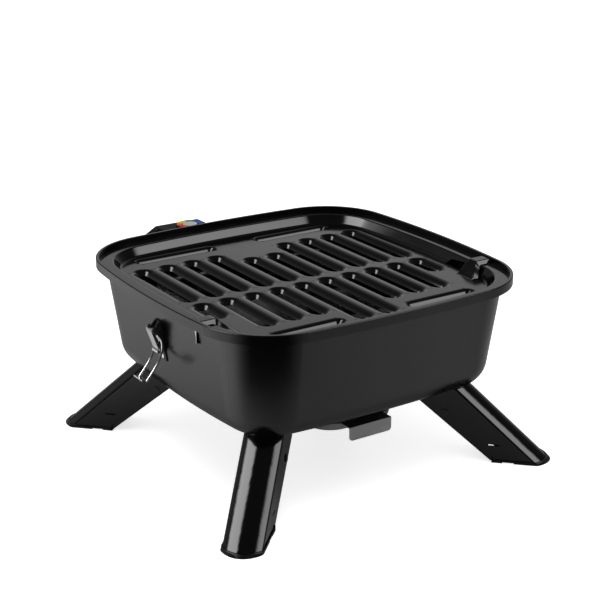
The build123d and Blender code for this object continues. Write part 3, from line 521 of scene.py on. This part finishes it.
def slot_places():
    """Centre, half length and direction of every pressed slot."""
    places = []
    for k in range(SLOT_COLUMNS):
        x = (k - (SLOT_COLUMNS - 1) / 2) * SLOT_PITCH
        middle = k in (SLOT_COLUMNS // 2 - 1, SLOT_COLUMNS // 2)
        outer = k in (0, SLOT_COLUMNS - 1)
        back = BACK_SLOTS_MIDDLE if middle else BACK_SLOTS
        front = FRONT_SLOTS_MIDDLE if middle else FRONT_SLOTS_OUTER if outer else FRONT_SLOTS
        places += [((x, (low + high) / 2), (high - low) / 2, False) for low, high in (back, front)]
    for low, high, y in CROSS_SLOTS:
        places += [((side * (low + high) / 2, y), (high - low) / 2, True) for side in (-1, 1)]
    return places


def relief_loops(centre, half_length, along_x):
    """The slits at the four corners of one pressed slot."""
    loops = []
    for side in (-1, 1):
        for end in (-1, 1):
            off = side * (SLOT_HALF + (CROSS_RELIEF_OUT if along_x else RELIEF_OUT))
            mid = end * (half_length - SLOT_HALF + RELIEF_START + RELIEF_LENGTH / 2)
            spot = (centre[0] - mid, centre[1] + off) if along_x else (centre[0] + off, centre[1] + mid)
            loops.append(stadium(spot, RELIEF_LENGTH / 2, RELIEF_HALF, along_x, RELIEF_END_STEPS))
    return loops


def inside(spot, loop):
    """Whether a point lies inside a closed loop."""
    found = False
    for i, (x, y) in enumerate(loop):
        before_x, before_y = loop[i - 1]
        if (y > spot[1]) != (before_y > spot[1]):
            cross = x + (spot[1] - y) / (before_y - y) * (before_x - x)
            found = found != (spot[0] < cross)
    return found


def near_box(loop):
    """The box round a closed loop."""
    xs, ys = zip(*loop)
    return min(xs), max(xs), min(ys), max(ys)


def slot_form(across):
    """Outer half width of a slot's roll, and the roll's radius and turn, by the slot's direction."""
    if across:
        return SLOT_HALF + CROSS_SPREAD, CROSS_ROLL, CROSS_TURN
    return SLOT_HALF + SLOT_SPREAD, SLOT_ROLL, SLOT_TURN


def slot_loop(centre, half_length, across, margin):
    """The outline where a pressed slot's roll starts, grown by a margin."""
    wide = slot_form(across)[0]
    return stadium(centre, half_length + END_SPREAD + margin, wide + margin, across, SLOT_END_STEPS)


def plate_sheet():
    """The plate's upper skin: a triangulated sheet with its holes left out."""
    slots = [slot_loop(spot, half, across, 0.0) for spot, half, across in slot_places()]
    margins = [slot_loop(spot, half, across, SLOT_MARGIN) for spot, half, across in slot_places()]
    reliefs = [loop for spot, half, across in slot_places() for loop in relief_loops(spot, half, across)]
    fingers = [stadium((side * FINGER_X, FINGER_Y), FINGER_HALF_LENGTH, FINGER_HALF_WIDTH, False,
                       FINGER_END_STEPS) for side in (-1, 1)]
    loops = [outline(inset) for inset in well_insets()] + slots + margins + reliefs + fingers
    spots, edges = [], []
    for loop in loops:
        first = len(spots)
        spots += [Vector(point) for point in loop]
        edges += [(first + i, first + (i + 1) % len(loop)) for i in range(len(loop))]
    verts, _, faces = delaunay_2d_cdt(spots, edges, [], 1, HAIR, False)[:3]
    holes = [(near_box(loop), loop) for loop in slots + reliefs + fingers]
    bm = bmesh.new()
    made = [bm.verts.new((v.x, v.y + AXIS_Y, well_height(inset_at(v.x, v.y)))) for v in verts]
    for face in faces:
        x = sum(verts[i].x for i in face) / 3
        y = sum(verts[i].y for i in face) / 3
        near = [loop for box, loop in holes if box[0] < x < box[1] and box[2] < y < box[3]]
        if not any(inside((x, y), loop) for loop in near):
            bm.faces.new([made[i] for i in face])
    return bm


def slot_path(angle, roll, side_turn):
    """How the sheet turns down round a slot, from its long side (0) to its round end (a quarter turn)."""
    share = abs(math.sin(angle))**END_BLEND
    bend = roll + (END_ROLL - roll) * share
    turn = side_turn + (END_TURN - side_turn) * share
    turns = shares(0.0, turn, SLOT_ROLL_STEPS)
    path = [(bend * math.sin(part), bend * (1 - math.cos(part))) for part in turns]
    inward, drop = path[-1]
    return path + [(inward + (SLOT_DROP - drop) / math.tan(turn), SLOT_DROP)]


def roll_slots(bm):
    """Rolls the sheet down into every slot, and slopes it at the slot's round ends."""
    for spot, half, across in slot_places():
        wide, roll, side_turn = slot_form(across)
        run = half + END_SPREAD - wide
        rings = [[] for _ in range(SLOT_ROLL_STEPS + 2)]
        for way, first in ((1, 0.0), (-1, math.pi)):
            for i in range(SLOT_END_STEPS + 1):
                angle = first + math.pi * i / SLOT_END_STEPS
                for loop, (inward, drop) in zip(rings, slot_path(angle, roll, side_turn)):
                    x = (wide - inward) * math.cos(angle)
                    y = way * run + (wide - inward) * math.sin(angle)
                    x, y = (-y, x) if across else (x, y)
                    loop.append(bm.verts.new((spot[0] + x, spot[1] + y + AXIS_Y, PLATE_FLOOR - drop)))
        stack(bm, rings)


def plate():
    """The plate's whole upper skin."""
    bm = plate_sheet()
    roll_slots(bm)
    bmesh.ops.remove_doubles(bm, verts=bm.verts, dist=WELD)
    loose = [v for v in bm.verts if not v.link_faces]
    bmesh.ops.delete(bm, geom=loose, context="VERTS")
    return bm


# Handles: strips raised from the plate's floor, with the front edge turned down
HANDLE_ROOT_X = 147.0 * MM
HANDLE_TOP_X = 162.0 * MM
HANDLE_END_X = 180.0 * MM
HANDLE_RISE = 14.0 * MM
HANDLE_BEND = 7.0 * MM
HANDLE_BACK = -86.0 * MM
HANDLE_FRONT = -99.0 * MM
HANDLE_ROOT_FRONT = -111.0 * MM
HANDLE_ROOT_LEAD = 3.2 * MM
HANDLE_ROOT_EASE = 2.0 * MM
HANDLE_LIP = 5.0 * MM
LIP_BEND = 1.8 * MM
LIP_TURN = math.radians(56)
LIP_BEND_STEPS = 6
LIP_ROUND = 3.0 * MM
LIP_RUN_IN = 0.4 * MM
LIP_LEAST = 0.1 * MM
LIP_SINK = 0.3 * MM
LIP_BEND_SHARE = 0.8
LEAST_LEAN = 0.2
BACK_EDGE = (
    (0.0, -1.2 * MM), (0.0, -0.8 * MM), (-0.25 * MM, -0.25 * MM), (-0.8 * MM, 0.0), (-1.2 * MM, 0.0),
)
HANDLE_STEP = 0.7 * MM
HANDLE_SHEET = 1.3 * MM


def smooth_step(value):
    """Eases from 0 to 1."""
    value = min(max(value, 0.0), 1.0)
    return value * value * (3 - 2 * value)


def bent_line(points, radius, step):
    """Points along a line of straight runs with rounded corners, step apart."""
    runs = [Vector(points[0])]
    for before, corner, after in zip(points, points[1:], points[2:]):
        back = (Vector(before) - Vector(corner)).normalized()
        ahead = (Vector(after) - Vector(corner)).normalized()
        half = back.angle(ahead) / 2
        centre = Vector(corner) + (back + ahead).normalized() * radius / math.sin(half)
        first = Vector(corner) + back * radius / math.tan(half) - centre
        last = Vector(corner) + ahead * radius / math.tan(half) - centre
        count = max(3, int(radius * (math.pi - 2 * half) / step))
        sweep = first.angle_signed(last)
        runs += [centre + Matrix.Rotation(-turn, 2) @ first for turn in shares(0.0, sweep, count)]
    runs.append(Vector(points[-1]))
    spots = [runs[0]]
    for start, end in zip(runs, runs[1:]):
        count = max(1, round((end - start).length / step))
        spots += [start.lerp(end, (i + 1) / count) for i in range(count)]
    return spots


def lip_depth(spot, up):
    """How far the front lip reaches down at a point of the handle's line, short of the plate's floor."""
    end = max(HANDLE_END_X - spot.x, 0.0)
    tip = LIP_ROUND - math.sqrt(max(LIP_ROUND**2 - max(LIP_ROUND - end, 0.0)**2, 0.0))
    room = max(spot.y + LIP_SINK, LIP_LEAST) / max(up.y, LEAST_LEAN)
    return min(HANDLE_LIP - tip, room)


def handle_section(spot, up):
    """The handle's section at a point of its line, as (y, height) from the back edge to the lip's foot."""
    share = smooth_step((spot.x - HANDLE_ROOT_X) / (HANDLE_TOP_X - HANDLE_ROOT_X + HANDLE_ROOT_EASE))
    front = HANDLE_ROOT_FRONT + (HANDLE_FRONT - HANDLE_ROOT_FRONT) * share
    lip = lip_depth(spot, up)
    bend = min(LIP_BEND, lip * LIP_BEND_SHARE)
    section = [(HANDLE_BACK + y, height) for y, height in BACK_EDGE]
    section += [(front + bend + LIP_RUN_IN, 0.0)]
    section += [(front + bend - bend * math.sin(turn), bend * math.cos(turn) - bend)
                for turn in shares(0.0, LIP_TURN, LIP_BEND_STEPS)]
    last, low = section[-1]
    return section + [(last - (low + lip) / math.tan(LIP_TURN), -lip)]


def handle(side):
    """One handle's upper skin."""
    path = bent_line([(HANDLE_ROOT_X - HANDLE_ROOT_LEAD, 0.0), (HANDLE_ROOT_X, 0.0),
                      (HANDLE_TOP_X, HANDLE_RISE), (HANDLE_END_X, HANDLE_RISE)], HANDLE_BEND, HANDLE_STEP)
    bm = bmesh.new()
    rows = []
    for i, spot in enumerate(path):
        along = (path[min(i + 1, len(path) - 1)] - path[max(i - 1, 0)]).normalized()
        up = Vector((-along.y, along.x))
        rows.append([bm.verts.new((side * (spot.x + up.x * h), y + AXIS_Y, PLATE_FLOOR + spot.y + up.y * h))
                     for y, h in handle_section(spot, up)])
    for row, after in zip(rows, rows[1:]):
        for k in range(len(row) - 1):
            corners = (row[k], row[k + 1], after[k + 1], after[k])
            bm.faces.new(corners if side > 0 else corners[::-1])
    return bm


def sheet_piece(name, bm, depth):
    """A sheet that belongs to the plate, given its thickness under the upper skin."""
    bmesh.ops.recalc_face_normals(bm, faces=bm.faces)
    bmesh.ops.solidify(bm, geom=bm.faces[:], thickness=depth)
    return piece(name, bm, "plate", MATERIALS["plate_coating"], SHEET_SHARP)


skin = sheet_piece("plate_skin", plate(), SHEET)
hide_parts("grill_plate")
for side, name in ((-1, "left"), (1, "right")):
    sheet_piece("plate_handle_" + name, handle(side), HANDLE_SHEET)


# ---------------------------------------------------------------- studio

LAMP_PLACE = (-0.3, -0.2, 1.6)
LAMP_AIM = (0.0, 0.0, 0.1)
LAMP_SIZE = 1.4
LAMP_POWER = 14.0


def top_light():
    """A large soft lamp overhead, which the gloss doesn't show."""
    lamp = bpy.data.lights.new("top_box", "AREA")
    lamp.size = LAMP_SIZE
    lamp.energy = LAMP_POWER
    holder = bpy.data.objects.new("top_box", lamp)
    holder.location = LAMP_PLACE
    holder.visible_glossy = False
    holder.rotation_mode = "QUATERNION"
    holder.rotation_quaternion = (Vector(LAMP_AIM) - Vector(LAMP_PLACE)).to_track_quat("-Z", "Y")
    bpy.context.scene.collection.objects.link(holder)


# Soft boxes that the gloss shows: the way to each, its inner and outer angle, and its level
SOFT_BOXES = (
    ((-0.62, 0.36, 0.70), 14.0, 24.0, 7.0),
    ((0.55, -0.56, 0.62), 7.0, 20.0, 4.5),
)
# Glows that fade evenly: the way to each, how tight it is, and its level
GLOWS = (
    ((0.59, 0.79, 0.17), 12.0, 0.65),
    ((-0.46, 0.85, 0.25), 20.0, 0.25),
)
DIM_ROOM = 0.06
PLAIN_LIGHT = 0.55


def studio():
    """A room of soft boxes for gloss, plain light for the rest, and white for the camera."""
    world = bpy.data.worlds.new("studio")
    bpy.context.scene.world = world
    world.use_nodes = True
    nodes, links = world.node_tree.nodes, world.node_tree.links
    sky = nodes["Background"]
    place = nodes.new("ShaderNodeTexCoord")
    level = DIM_ROOM
    for way, inner, outer, power in SOFT_BOXES:
        near = towards(nodes, links, place.outputs["Generated"], way)
        glow = smooth_range(nodes, links, near, math.cos(math.radians(outer)), math.cos(math.radians(inner)),
                            0.0, power)
        level = math_node(nodes, links, "ADD", level, glow)
    for way, tight, power in GLOWS:
        near = towards(nodes, links, place.outputs["Generated"], way)
        near = math_node(nodes, links, "MAXIMUM", near, 0.0)
        glow = math_node(nodes, links, "MULTIPLY", math_node(nodes, links, "POWER", near, tight), power)
        level = math_node(nodes, links, "ADD", level, glow)
    path = nodes.new("ShaderNodeLightPath")
    kinds = ((path.outputs["Is Glossy Ray"], level), (path.outputs["Is Camera Ray"], 1.0))
    result = PLAIN_LIGHT
    for kind, strength in kinds:
        mix = nodes.new("ShaderNodeMix")
        links.new(kind, mix.inputs["Factor"])
        for value, socket in ((result, "A"), (strength, "B")):
            if isinstance(value, (int, float)):
                mix.inputs[socket].default_value = value
            else:
                links.new(value, mix.inputs[socket])
        result = mix.outputs["Result"]
    links.new(result, sky.inputs["Strength"])
    sky.inputs["Color"].default_value = (1.0, 1.0, 1.0, 1.0)
    top_light()


# Painted reflection: the floor's colour as only the gloss sees it, about the bowl's axis: bright to the
# left, dimmer in front, and dark one way out beyond the feet, to give the black gloss its light and dark
# reflections
DARK_WAY = (-0.602, -0.799, 0.0)
DARK_NEAR = 0.30
DARK_FAR = 0.42
DARK_EDGE = 0.70
DARK_CORE = 0.95
LEFT_X = -0.44
LEFT_LEVEL = 1.2
FRONT_X = -0.16
FRONT_LEVEL = 0.47
FLOOR_WHITE = 0.9
FLOOR_GLOW = 0.72
FLOOR_HALF = 6.0


def painted_reflection_level(nodes, links):
    """The floor's painted reflection level, seen by the gloss alone, from where a point lies about the
    bowl's axis.
    """
    place = nodes.new("ShaderNodeTexCoord")
    about = nodes.new("ShaderNodeVectorMath")
    about.operation = "SUBTRACT"
    about.inputs[1].default_value = (0.0, AXIS_Y, 0.0)
    links.new(place.outputs["Object"], about.inputs[0])
    spot = about.outputs["Vector"]
    away = nodes.new("ShaderNodeVectorMath")
    away.operation = "LENGTH"
    links.new(spot, away.inputs[0])
    unit = nodes.new("ShaderNodeVectorMath")
    unit.operation = "NORMALIZE"
    links.new(spot, unit.inputs[0])
    near = towards(nodes, links, unit.outputs["Vector"], DARK_WAY)
    facing = smooth_range(nodes, links, near, DARK_EDGE, DARK_CORE, 0.0, 1.0)
    far = smooth_range(nodes, links, away.outputs["Value"], DARK_NEAR, DARK_FAR, 0.0, 1.0)
    light = math_node(nodes, links, "SUBTRACT", 1.0, math_node(nodes, links, "MULTIPLY", facing, far))
    split = nodes.new("ShaderNodeSeparateXYZ")
    links.new(spot, split.inputs["Vector"])
    across = smooth_range(nodes, links, split.outputs["X"], LEFT_X, FRONT_X, LEFT_LEVEL, FRONT_LEVEL)
    return math_node(nodes, links, "MULTIPLY", light, across)


def floor_paint():
    """White to the camera, with painted reflection levels that only the gloss sees."""
    made, nodes, links, bsdf = shader("floor_sweep", grey(FLOOR_WHITE), 0.0, 0.25, 0.3)
    cloud = noise(nodes, links, FLOOR_CLOUD)
    links.new(spread(nodes, links, cloud, 0.2, 0.28), bsdf.inputs["Roughness"])
    path = nodes.new("ShaderNodeLightPath")
    glow = nodes.new("ShaderNodeMapRange")
    glow.inputs["To Max"].default_value = FLOOR_GLOW
    links.new(path.outputs["Is Camera Ray"], glow.inputs["Value"])
    bsdf.inputs["Emission Color"].default_value = (1.0, 1.0, 1.0, 1.0)
    links.new(glow.outputs["Result"], bsdf.inputs["Emission Strength"])
    # Painted reflection: glossy rays see the painted levels in place of the plain white
    painted_reflection_tone = nodes.new("ShaderNodeMix")
    painted_reflection_tone.inputs["A"].default_value = FLOOR_WHITE
    links.new(path.outputs["Is Glossy Ray"], painted_reflection_tone.inputs["Factor"])
    links.new(painted_reflection_level(nodes, links), painted_reflection_tone.inputs["B"])
    paint = nodes.new("ShaderNodeCombineColor")
    for channel in ("Red", "Green", "Blue"):
        links.new(painted_reflection_tone.outputs["Result"], paint.inputs[channel])
    links.new(paint.outputs["Color"], bsdf.inputs["Base Color"])
    return made


def floor():
    """A wide plain floor under the feet."""
    bm = bmesh.new()
    bmesh.ops.create_grid(bm, x_segments=8, y_segments=8, size=FLOOR_HALF)
    mesh = bpy.data.meshes.new("floor")
    bm.to_mesh(mesh)
    bm.free()
    ground = bpy.data.objects.new("floor", mesh)
    ground.data.materials.append(floor_paint())
    bpy.context.scene.collection.objects.link(ground)


# The camera, about the bowl's axis
CAMERA_PLACE = (-0.80606, -1.23345, 0.68559)
CAMERA_AIM = (0.51842, 0.78765, -0.33293)
CAMERA_LENS = 86.17
CAMERA_SENSOR = 36.0
CAMERA_SHIFT_X = -0.0088
CAMERA_SHIFT_Y = -0.0004


def camera():
    """Looks at the part from the front left and above."""
    data = bpy.data.cameras.new("camera")
    data.sensor_width = CAMERA_SENSOR
    data.lens = CAMERA_LENS
    data.shift_x = CAMERA_SHIFT_X
    data.shift_y = CAMERA_SHIFT_Y
    holder = bpy.data.objects.new("camera", data)
    holder.location = Vector(CAMERA_PLACE) + Vector((0, AXIS_Y, 0))
    holder.rotation_mode = "QUATERNION"
    holder.rotation_quaternion = Vector(CAMERA_AIM).to_track_quat("-Z", "Y")
    bpy.context.scene.collection.objects.link(holder)
    bpy.context.scene.camera = holder


studio()
floor()
camera()
bpy.context.scene.view_settings.view_transform = "Standard"
